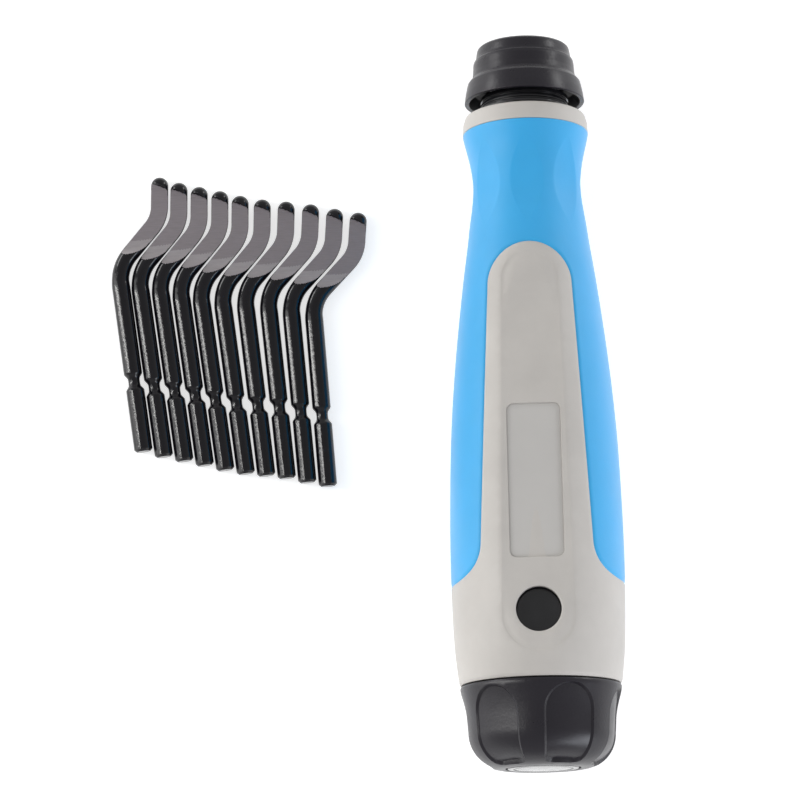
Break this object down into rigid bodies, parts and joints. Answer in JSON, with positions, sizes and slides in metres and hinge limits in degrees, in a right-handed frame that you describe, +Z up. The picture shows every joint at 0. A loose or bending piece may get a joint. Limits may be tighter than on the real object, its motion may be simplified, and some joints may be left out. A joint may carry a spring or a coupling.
{
  "type": "deburring tool",
  "caption": "Pen-grip hand deburring tool with a quick-change nose, a soft waisted grip and blade storage under its end cap, beside spare S-shaped blades.",
  "frame": {"origin": "middle of the whole footprint, on the surface that the tool and the blades lie on", "axes": "+Y along the tool from the end cap to the nose, seen from above; +Z up, out of the surface; the nose dips 3.52 degrees"},
  "size_m": [0.0862, 0.1242, 0.0302],
  "materials": {
    "grey_plastic": "fine matte moulded",
    "blue_grip": "satin soft-touch overmould",
    "label_grey": "smooth matte, blank",
    "black_plastic": "satin, fine texture",
    "gloss_black": "glossy moulded",
    "spring_steel": "bright drawn",
    "seal_rubber": "matte rubber",
    "blade_steel": "black oxide with a ground grey flat on the head"
  },
  "bodies": {
    "handle": {"body_shell": "grey_plastic", "soft_grip": "blue_grip", "label_plate": "label_grey", "chuck_core": "gloss_black", "retaining_ring": "spring_steel", "sleeve_spring": "spring_steel"},
    "sleeve": {"release_sleeve": "black_plastic"},
    "ball_1": {"lock_ball_1": "spring_steel"},
    "ball_2": {"lock_ball_2": "spring_steel"},
    "ball_3": {"lock_ball_3": "spring_steel"},
    "cap": {"storage_cap": "black_plastic", "cap_seal": "seal_rubber", "end_disc": "black_plastic", "button_spring": "spring_steel"},
    "button": {"lock_button": "gloss_black"},
    "blade_01": {"blade_01": "blade_steel"},
    "blade_02": {"blade_02": "blade_steel"},
    "blade_03": {"blade_03": "blade_steel"},
    "blade_04": {"blade_04": "blade_steel"},
    "blade_05": {"blade_05": "blade_steel"},
    "blade_06": {"blade_06": "blade_steel"},
    "blade_07": {"blade_07": "blade_steel"},
    "blade_08": {"blade_08": "blade_steel"},
    "blade_09": {"blade_09": "blade_steel"},
    "blade_10": {"blade_10": "blade_steel"}
  },
  "joints": [
    {"name": "sleeve_slide", "type": "slide", "parent": "handle", "child": "sleeve", "axis": [0, -0.9981, 0.0614], "range_m": [0, 0.0021], "stiffness_N_per_m": 900, "springref_m": -0.003, "deforming": ["sleeve_spring"]},
    {"name": "ball_1_slide", "type": "slide", "parent": "handle", "child": "ball_1", "axis": [-0.0454, 0.0613, 0.9971], "range_m": [0, 0.00053]},
    {"name": "ball_2_slide", "type": "slide", "parent": "handle", "child": "ball_2", "axis": [0.8878, -0.0283, -0.4593], "range_m": [0, 0.00053]},
    {"name": "ball_3_slide", "type": "slide", "parent": "handle", "child": "ball_3", "axis": [-0.8425, -0.0331, -0.5378], "range_m": [0, 0.00053]},
    {"name": "cap_slide", "type": "slide", "parent": "handle", "child": "cap", "axis": [0, -0.9981, 0.0614], "range_m": [0, 0.05]},
    {"name": "button_press", "type": "slide", "parent": "cap", "child": "button", "axis": [0.0454, -0.0613, -0.9971], "range_m": [0, 0.0016], "stiffness_N_per_m": 500, "springref_m": -0.002, "deforming": ["button_spring"]},
    {"name": "blade_01_lift", "type": "slide", "parent": "handle", "child": "blade_01", "axis": [0, 0, 1], "range_m": [0, 0.04]},
    {"name": "blade_02_lift", "type": "slide", "parent": "handle", "child": "blade_02", "axis": [0, 0, 1], "range_m": [0, 0.04]},
    {"name": "blade_03_lift", "type": "slide", "parent": "handle", "child": "blade_03", "axis": [0, 0, 1], "range_m": [0, 0.04]},
    {"name": "blade_04_lift", "type": "slide", "parent": "handle", "child": "blade_04", "axis": [0, 0, 1], "range_m": [0, 0.04]},
    {"name": "blade_05_lift", "type": "slide", "parent": "handle", "child": "blade_05", "axis": [0, 0, 1], "range_m": [0, 0.04]},
    {"name": "blade_06_lift", "type": "slide", "parent": "handle", "child": "blade_06", "axis": [0, 0, 1], "range_m": [0, 0.04]},
    {"name": "blade_07_lift", "type": "slide", "parent": "handle", "child": "blade_07", "axis": [0, 0, 1], "range_m": [0, 0.04]},
    {"name": "blade_08_lift", "type": "slide", "parent": "handle", "child": "blade_08", "axis": [0, 0, 1], "range_m": [0, 0.04]},
    {"name": "blade_09_lift", "type": "slide", "parent": "handle", "child": "blade_09", "axis": [0, 0, 1], "range_m": [0, 0.04]},
    {"name": "blade_10_lift", "type": "slide", "parent": "handle", "child": "blade_10", "axis": [0, 0, 1], "range_m": [0, 0.04]}
  ],
  "couplings": [
    {"joint": "ball_1_slide", "follows": "sleeve_slide", "ratio": 0.25},
    {"joint": "ball_2_slide", "follows": "sleeve_slide", "ratio": 0.25},
    {"joint": "ball_3_slide", "follows": "sleeve_slide", "ratio": 0.25}
  ]
}
